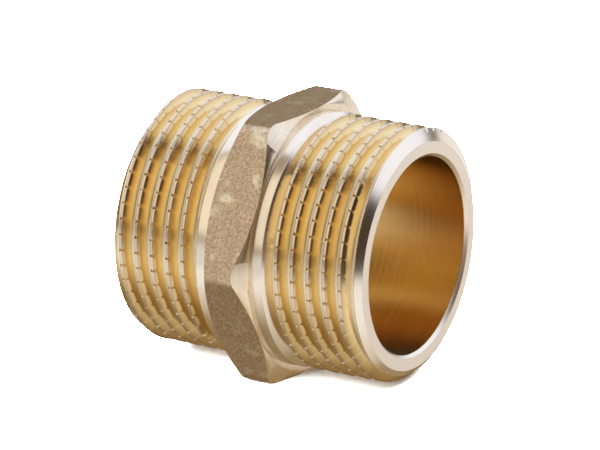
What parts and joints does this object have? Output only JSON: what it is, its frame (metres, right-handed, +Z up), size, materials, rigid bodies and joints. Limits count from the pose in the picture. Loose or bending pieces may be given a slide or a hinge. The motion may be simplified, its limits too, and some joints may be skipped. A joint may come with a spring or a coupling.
{
  "type": "hex nipple",
  "caption": "Short brass pipe nipple with a hexagon in the middle for a spanner and the same external pipe thread on both ends.",
  "frame": {"origin": "on the fitting's axis, in the middle of the hexagon, halfway between the two end faces", "axes": "+X along the axis, +Z up out of a hexagon flat, so the fitting lies on the flat that faces -Z; +Y towards a hexagon corner"},
  "size_m": [0.0366, 0.0394, 0.035],
  "materials": {
    "brass": "satin"
  },
  "bodies": {
    "root": {"nipple_body": "brass"}
  },
  "joints": []
}
